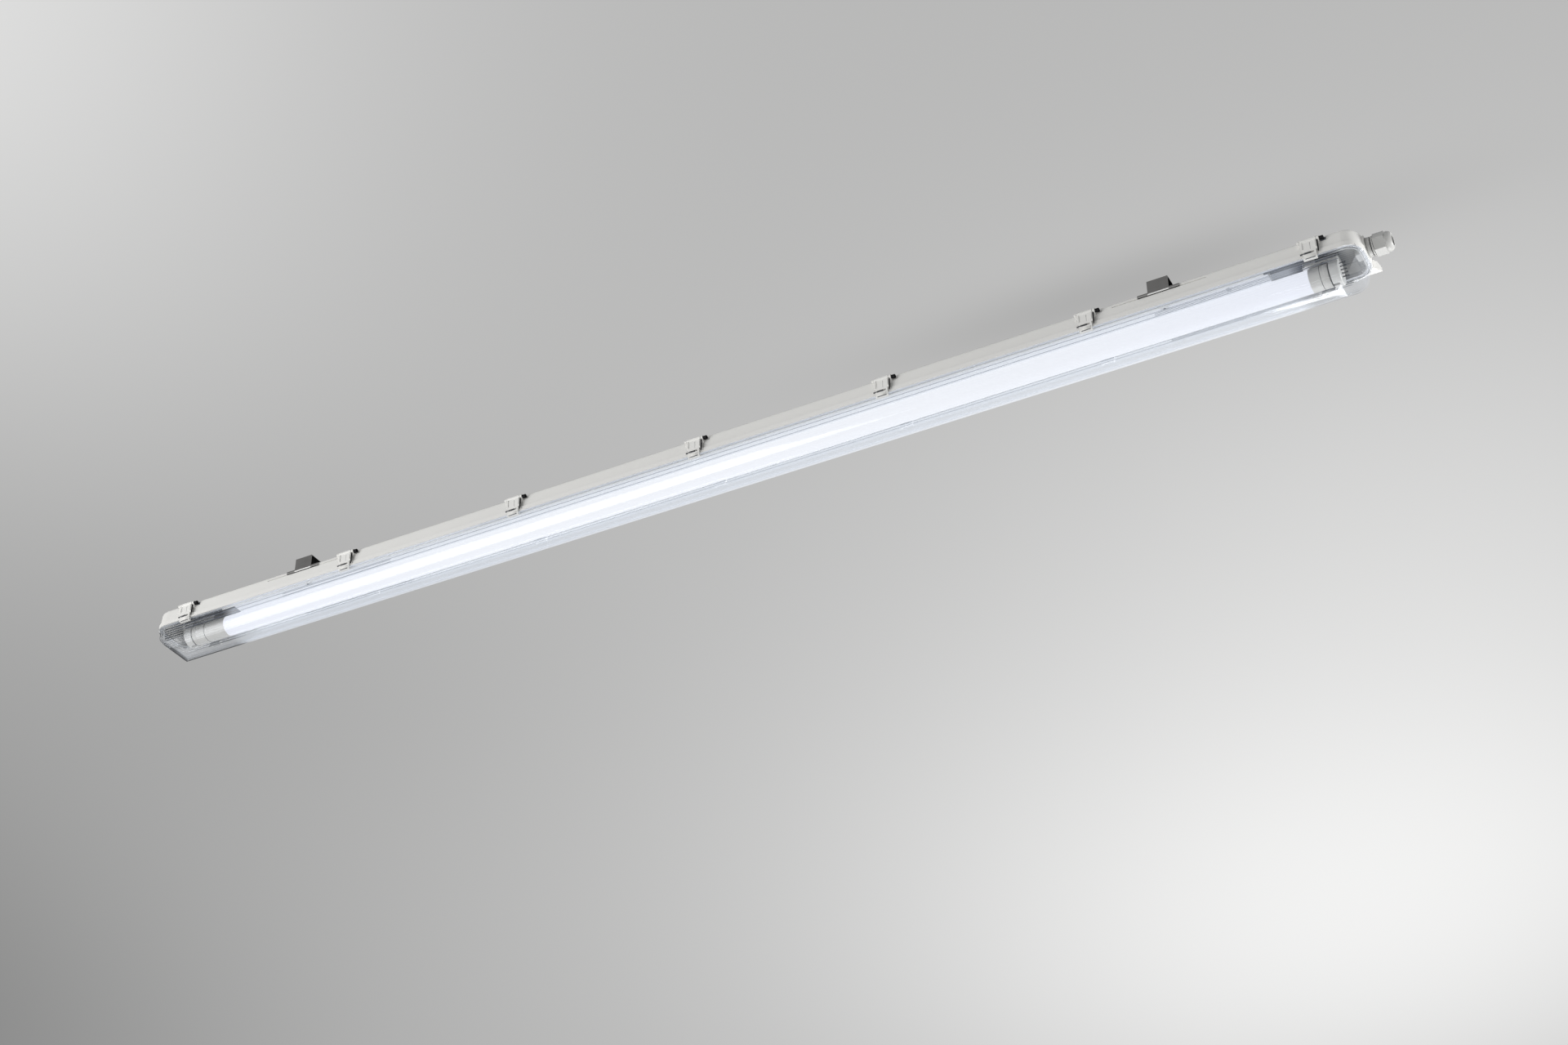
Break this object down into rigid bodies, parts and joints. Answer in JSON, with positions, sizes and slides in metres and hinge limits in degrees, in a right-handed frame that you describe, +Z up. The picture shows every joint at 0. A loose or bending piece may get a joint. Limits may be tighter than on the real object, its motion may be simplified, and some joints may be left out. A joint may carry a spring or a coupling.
{
  "type": "vapor tight light fixture",
  "caption": "Slim weatherproof ceiling light: trough housing, clear clipped cover with fine prisms, one tube lamp, gear tray, cable gland and sprung ceiling brackets.",
  "frame": {"origin": "in the ceiling plane, midway between the two ceiling brackets, 5.5 mm towards the cable gland from over the middle of the housing", "axes": "+X along the fixture towards the cable gland, +Y towards the far long side, +Z up into the ceiling"},
  "size_m": [1.6175, 0.0696, 0.0725],
  "materials": {
    "housing_plastic": "fine satin moulding",
    "gasket_foam": "matt foam",
    "cover_clear": "clear, high gloss",
    "clip_plastic": "fine satin moulding",
    "pin_steel": "bright drawn",
    "stainless_steel": "bright rolled strip",
    "tray_white": "white semi-gloss coating",
    "holder_plastic": "semi-gloss",
    "rotor_plastic": "semi-gloss",
    "contact_brass": "bright",
    "screw_steel": "bright zinc plated",
    "lamp_glass": "opal coated, glossy",
    "cap_plastic": "semi-gloss",
    "board_aluminium": "white solder mask",
    "chip_yellow": "phosphor",
    "board_green": "solder mask",
    "gland_plastic": "satin moulding",
    "seal_rubber": "matt",
    "terminal_plastic": "satin",
    "wire_brown": "soft sheath",
    "wire_blue": "soft sheath",
    "wire_green": "soft sheath",
    "latch_plastic": "semi-gloss"
  },
  "bodies": {
    "ceiling_brackets": {"ceiling_bracket_left": "stainless_steel", "ceiling_bracket_right": "stainless_steel"},
    "housing": {"base_housing": "housing_plastic", "base_gasket": "gasket_foam", "clip_pins": "pin_steel", "gear_tray": "tray_white", "lampholder_left": "holder_plastic", "lampholder_right": "holder_plastic", "lampholder_contacts": "contact_brass", "lampholder_screws": "screw_steel", "gland_body": "gland_plastic", "gland_seal_washer": "seal_rubber", "gland_lock_nut": "gland_plastic", "gland_seal": "seal_rubber", "gland_cage": "gland_plastic", "terminal_block": "terminal_plastic", "terminal_clamps": "contact_brass", "terminal_rivets": "screw_steel", "wire_live": "wire_brown", "wire_neutral": "wire_blue", "wire_earth": "wire_green", "wire_clips": "terminal_plastic", "earth_screw": "contact_brass"},
    "cover": {"diffuser_cover": "cover_clear"},
    "lamp_ends": {"tube_cap_left": "cap_plastic", "tube_cap_right": "cap_plastic", "cap_pins": "contact_brass", "lamp_rotor_left": "rotor_plastic", "lamp_rotor_right": "rotor_plastic"},
    "tube": {"tube_glass": "lamp_glass", "tube_collar_left": "cap_plastic", "tube_collar_right": "cap_plastic", "led_board": "board_aluminium", "led_chips": "chip_yellow", "tube_driver": "board_green"},
    "gland_nut": {"gland_dome_nut": "gland_plastic"},
    "clip_near_1": {"clip_near_1": "clip_plastic"},
    "clip_near_2": {"clip_near_2": "clip_plastic"},
    "clip_near_3": {"clip_near_3": "clip_plastic"},
    "clip_near_4": {"clip_near_4": "clip_plastic"},
    "clip_near_5": {"clip_near_5": "clip_plastic"},
    "clip_near_6": {"clip_near_6": "clip_plastic"},
    "clip_near_7": {"clip_near_7": "clip_plastic"},
    "clip_far_1": {"clip_far_1": "clip_plastic"},
    "clip_far_2": {"clip_far_2": "clip_plastic"},
    "clip_far_3": {"clip_far_3": "clip_plastic"},
    "clip_far_4": {"clip_far_4": "clip_plastic"},
    "clip_far_5": {"clip_far_5": "clip_plastic"},
    "clip_far_6": {"clip_far_6": "clip_plastic"},
    "clip_far_7": {"clip_far_7": "clip_plastic"},
    "latch_1": {"tray_latch_1": "latch_plastic"},
    "latch_2": {"tray_latch_2": "latch_plastic"},
    "latch_3": {"tray_latch_3": "latch_plastic"},
    "latch_4": {"tray_latch_4": "latch_plastic"}
  },
  "joints": [
    {"name": "housing_slide", "type": "slide", "parent": "ceiling_brackets", "child": "housing", "axis": [1, 0, 0], "range_m": [-0.025, 0.025]},
    {"name": "cover_drop", "type": "slide", "parent": "housing", "child": "cover", "axis": [0, 0, -1], "range_m": [0, 0.04]},
    {"name": "lamp_turn", "type": "hinge", "parent": "housing", "child": "lamp_ends", "pos_m": [0, 0, -0.045], "axis": [1, 0, 0], "range_deg": [0, 90]},
    {"name": "tube_aim", "type": "hinge", "parent": "lamp_ends", "child": "tube", "pos_m": [0, 0, -0.045], "axis": [1, 0, 0], "range_deg": [-90, 90]},
    {"name": "gland_nut_turn", "type": "hinge", "parent": "housing", "child": "gland_nut", "pos_m": [0.8095, 0, -0.0245], "axis": [1, 0, 0], "range_deg": [0, 900]},
    {"name": "clip_near_1_hinge", "type": "hinge", "parent": "housing", "child": "clip_near_1", "pos_m": [-0.7469, -0.0322, -0.0174], "axis": [-1, 0, 0], "range_deg": [0, 105]},
    {"name": "clip_near_2_hinge", "type": "hinge", "parent": "housing", "child": "clip_near_2", "pos_m": [-0.50001, -0.0322, -0.0174], "axis": [-1, 0, 0], "range_deg": [0, 105]},
    {"name": "clip_near_3_hinge", "type": "hinge", "parent": "housing", "child": "clip_near_3", "pos_m": [-0.25387, -0.0322, -0.0174], "axis": [-1, 0, 0], "range_deg": [0, 105]},
    {"name": "clip_near_4_hinge", "type": "hinge", "parent": "housing", "child": "clip_near_4", "pos_m": [-0.0055, -0.0322, -0.0174], "axis": [-1, 0, 0], "range_deg": [0, 105]},
    {"name": "clip_near_5_hinge", "type": "hinge", "parent": "housing", "child": "clip_near_5", "pos_m": [0.23694, -0.0322, -0.0174], "axis": [-1, 0, 0], "range_deg": [0, 105]},
    {"name": "clip_near_6_hinge", "type": "hinge", "parent": "housing", "child": "clip_near_6", "pos_m": [0.48308, -0.0322, -0.0174], "axis": [-1, 0, 0], "range_deg": [0, 105]},
    {"name": "clip_near_7_hinge", "type": "hinge", "parent": "housing", "child": "clip_near_7", "pos_m": [0.7359, -0.0322, -0.0174], "axis": [-1, 0, 0], "range_deg": [0, 105]},
    {"name": "clip_far_1_hinge", "type": "hinge", "parent": "housing", "child": "clip_far_1", "pos_m": [-0.7469, 0.0322, -0.0174], "axis": [1, 0, 0], "range_deg": [0, 105]},
    {"name": "clip_far_2_hinge", "type": "hinge", "parent": "housing", "child": "clip_far_2", "pos_m": [-0.50001, 0.0322, -0.0174], "axis": [1, 0, 0], "range_deg": [0, 105]},
    {"name": "clip_far_3_hinge", "type": "hinge", "parent": "housing", "child": "clip_far_3", "pos_m": [-0.25387, 0.0322, -0.0174], "axis": [1, 0, 0], "range_deg": [0, 105]},
    {"name": "clip_far_4_hinge", "type": "hinge", "parent": "housing", "child": "clip_far_4", "pos_m": [-0.0055, 0.0322, -0.0174], "axis": [1, 0, 0], "range_deg": [0, 105]},
    {"name": "clip_far_5_hinge", "type": "hinge", "parent": "housing", "child": "clip_far_5", "pos_m": [0.23694, 0.0322, -0.0174], "axis": [1, 0, 0], "range_deg": [0, 105]},
    {"name": "clip_far_6_hinge", "type": "hinge", "parent": "housing", "child": "clip_far_6", "pos_m": [0.48308, 0.0322, -0.0174], "axis": [1, 0, 0], "range_deg": [0, 105]},
    {"name": "clip_far_7_hinge", "type": "hinge", "parent": "housing", "child": "clip_far_7", "pos_m": [0.7359, 0.0322, -0.0174], "axis": [1, 0, 0], "range_deg": [0, 105]},
    {"name": "latch_turn_1", "type": "hinge", "parent": "housing", "child": "latch_1", "pos_m": [-0.5682, -0.015, -0.03], "axis": [0, 0, 1], "range_deg": [0, 90]},
    {"name": "latch_turn_2", "type": "hinge", "parent": "housing", "child": "latch_2", "pos_m": [-0.5682, 0.015, -0.03], "axis": [0, 0, 1], "range_deg": [0, 90]},
    {"name": "latch_turn_3", "type": "hinge", "parent": "housing", "child": "latch_3", "pos_m": [0.5682, -0.015, -0.03], "axis": [0, 0, 1], "range_deg": [0, 90]},
    {"name": "latch_turn_4", "type": "hinge", "parent": "housing", "child": "latch_4", "pos_m": [0.5682, 0.015, -0.03], "axis": [0, 0, 1], "range_deg": [0, 90]}
  ],
  "couplings": [
    {"joint": "clip_near_1_hinge", "follows": "cover_drop", "rad_per_m": 45.8},
    {"joint": "clip_near_2_hinge", "follows": "cover_drop", "rad_per_m": 45.8},
    {"joint": "clip_near_3_hinge", "follows": "cover_drop", "rad_per_m": 45.8},
    {"joint": "clip_near_4_hinge", "follows": "cover_drop", "rad_per_m": 45.8},
    {"joint": "clip_near_5_hinge", "follows": "cover_drop", "rad_per_m": 45.8},
    {"joint": "clip_near_6_hinge", "follows": "cover_drop", "rad_per_m": 45.8},
    {"joint": "clip_near_7_hinge", "follows": "cover_drop", "rad_per_m": 45.8},
    {"joint": "clip_far_1_hinge", "follows": "cover_drop", "rad_per_m": 45.8},
    {"joint": "clip_far_2_hinge", "follows": "cover_drop", "rad_per_m": 45.8},
    {"joint": "clip_far_3_hinge", "follows": "cover_drop", "rad_per_m": 45.8},
    {"joint": "clip_far_4_hinge", "follows": "cover_drop", "rad_per_m": 45.8},
    {"joint": "clip_far_5_hinge", "follows": "cover_drop", "rad_per_m": 45.8},
    {"joint": "clip_far_6_hinge", "follows": "cover_drop", "rad_per_m": 45.8},
    {"joint": "clip_far_7_hinge", "follows": "cover_drop", "rad_per_m": 45.8}
  ]
}
